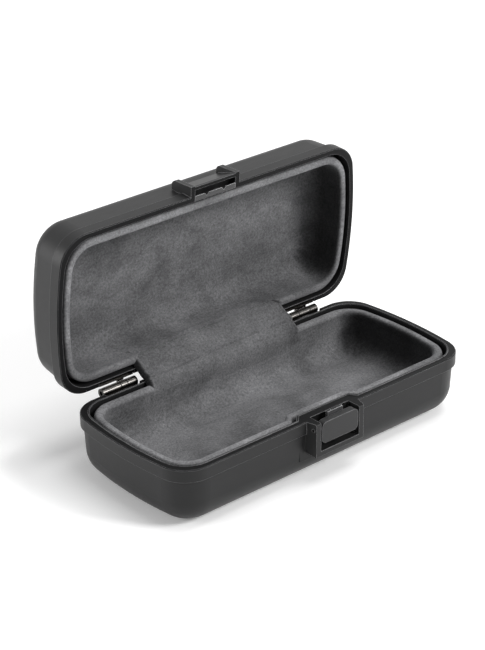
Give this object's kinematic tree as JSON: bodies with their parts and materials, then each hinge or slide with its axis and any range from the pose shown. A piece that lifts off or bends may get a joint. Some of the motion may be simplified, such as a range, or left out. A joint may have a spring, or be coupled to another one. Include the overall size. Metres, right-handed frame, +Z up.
{
  "type": "binocular hard case",
  "caption": "Rounded oblong hard case with a padded suede lining, a lid on two pin hinges joined by a suede web, and a push-button latch.",
  "frame": {"origin": "middle of the flat underside of the base, which rests on the table", "axes": "+X along the case to the right as seen from the latch side, +Y from the latch to the hinges, +Z up"},
  "size_m": [0.18, 0.1148, 0.1189],
  "materials": {
    "shell_plastic": "dark grey moulded plastic, fine grain",
    "button_plastic": "dark grey moulded plastic, smooth satin",
    "latch_plastic": "dark grey hard plastic, slightly glossy",
    "suede": "grey microfibre suede with a short nap",
    "foam": "dark closed-cell foam",
    "steel": "darkened steel, lightly worn"
  },
  "bodies": {
    "base": {"base_shell": "shell_plastic", "base_foam_pad": "foam", "base_suede_lining": "suede", "base_hinge_leaf_left": "steel", "base_hinge_leaf_right": "steel", "base_leaf_pins": "steel", "hinge_pin_left": "steel", "hinge_pin_right": "steel", "latch_pivot_pin": "steel", "latch_spring": "steel", "hinge_web": "suede"},
    "lid": {"lid_shell": "shell_plastic", "lid_foam_pad": "foam", "lid_suede_lining": "suede", "lid_hinge_leaf_left": "steel", "lid_hinge_leaf_right": "steel", "lid_leaf_pins": "steel", "catch_keeper": "latch_plastic"},
    "button": {"push_button": "button_plastic", "latch_hook": "latch_plastic"}
  },
  "joints": [
    {"name": "lid_hinge", "type": "hinge", "parent": "base", "child": "lid", "pos_m": [0, 0.04325, 0.03015], "axis": [-1, 0, 0], "range_deg": [-86.3, 0], "deforming": ["hinge_web"]},
    {"name": "button_press", "type": "hinge", "parent": "base", "child": "button", "pos_m": [0, -0.0438, 0.0276], "axis": [1, 0, 0], "range_deg": [0, 12], "stiffness_Nm_per_rad": 0.02, "deforming": ["latch_spring"]}
  ]
}
